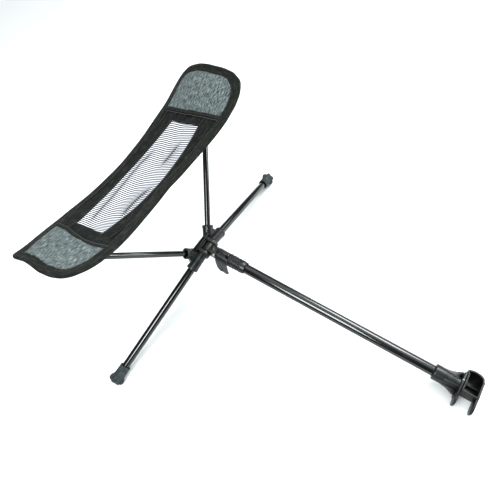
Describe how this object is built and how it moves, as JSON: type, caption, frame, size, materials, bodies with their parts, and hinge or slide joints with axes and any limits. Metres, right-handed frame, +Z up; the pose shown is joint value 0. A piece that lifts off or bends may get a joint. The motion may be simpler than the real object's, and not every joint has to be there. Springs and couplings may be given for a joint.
{
  "type": "camp chair leg rest",
  "caption": "Folding clip-on leg rest: a fabric sling on slim poles, a moulded hub on splayed legs with rubber feet, and a telescopic arm with a cam-lever lock and a snap clip.",
  "frame": {"origin": "on the floor, at the middle of the bounding box's footprint", "axes": "+X along the floor from the sling towards the clip, +Y towards the right-hand leg, +Z up"},
  "size_m": [0.6918, 0.584, 0.3428],
  "materials": {
    "black_plastic": "fine moulded texture, satin",
    "black_anodised": "gloss black anodised tube",
    "grey_rubber": "matt moulded rubber",
    "dark_fabric": "woven polyester with a mesh panel",
    "bright_steel": "bright zinc plate",
    "elastic_cord": "braided sheath over elastic"
  },
  "bodies": {
    "frame": {"hub_body": "black_plastic", "pivot_pin": "bright_steel", "sling_pole_left": "black_anodised", "sling_pole_right": "black_anodised", "pole_cap_left": "black_plastic", "pole_cap_right": "black_plastic", "pole_rivet_left": "bright_steel", "pole_rivet_right": "bright_steel", "pole_pocket_left": "dark_fabric", "pole_pocket_right": "dark_fabric", "sling_panel": "dark_fabric", "pivot_washer_left": "black_plastic", "pivot_washer_right": "black_plastic"},
    "knuckle_block": {"knuckle": "black_plastic", "arm_spigot": "bright_steel", "spigot_rivet": "bright_steel", "swivel_screw": "bright_steel"},
    "inner_arm": {"inner_tube": "black_anodised", "swivel_bush": "black_plastic", "tube_guide": "black_plastic"},
    "outer_arm": {"outer_tube": "black_anodised", "lock_collar": "black_plastic", "brake_pad": "black_plastic", "lever_pin": "bright_steel", "clip_socket": "black_plastic", "clip_jaw": "black_plastic", "clip_screw_upper": "bright_steel", "clip_screw_lower": "bright_steel"},
    "lever": {"lock_lever": "black_plastic"},
    "leg_left": {"leg_tube_left": "black_anodised", "foot_left": "grey_rubber", "shock_cord_left": "elastic_cord"},
    "leg_right": {"leg_tube_right": "black_anodised", "foot_right": "grey_rubber", "shock_cord_right": "elastic_cord"}
  },
  "joints": [
    {"name": "arm_pivot", "type": "hinge", "parent": "frame", "child": "knuckle_block", "pos_m": [-0.17976, 0, 0.12372], "axis": [0, 1, 0], "range_deg": [-85, 85]},
    {"name": "clip_swivel", "type": "hinge", "parent": "knuckle_block", "child": "inner_arm", "pos_m": [-0.14896, 0, 0.11713], "axis": [0.9778, 0, -0.2093], "range_deg": [-180, 180]},
    {"name": "arm_extension", "type": "slide", "parent": "inner_arm", "child": "outer_arm", "axis": [0.9778, 0, -0.2093], "range_m": [0, 0.25]},
    {"name": "lock_lever_hinge", "type": "hinge", "parent": "outer_arm", "child": "lever", "pos_m": [-0.14233, 0, 0.13135], "axis": [-0.9778, 0, 0.2093], "range_deg": [0, 110]},
    {"name": "leg_slide_left", "type": "slide", "parent": "frame", "child": "leg_left", "axis": [-0.1965, -0.9055, -0.3761], "range_m": [0, 0.026]},
    {"name": "leg_slide_right", "type": "slide", "parent": "frame", "child": "leg_right", "axis": [-0.1965, 0.9055, -0.3761], "range_m": [0, 0.026]}
  ]
}
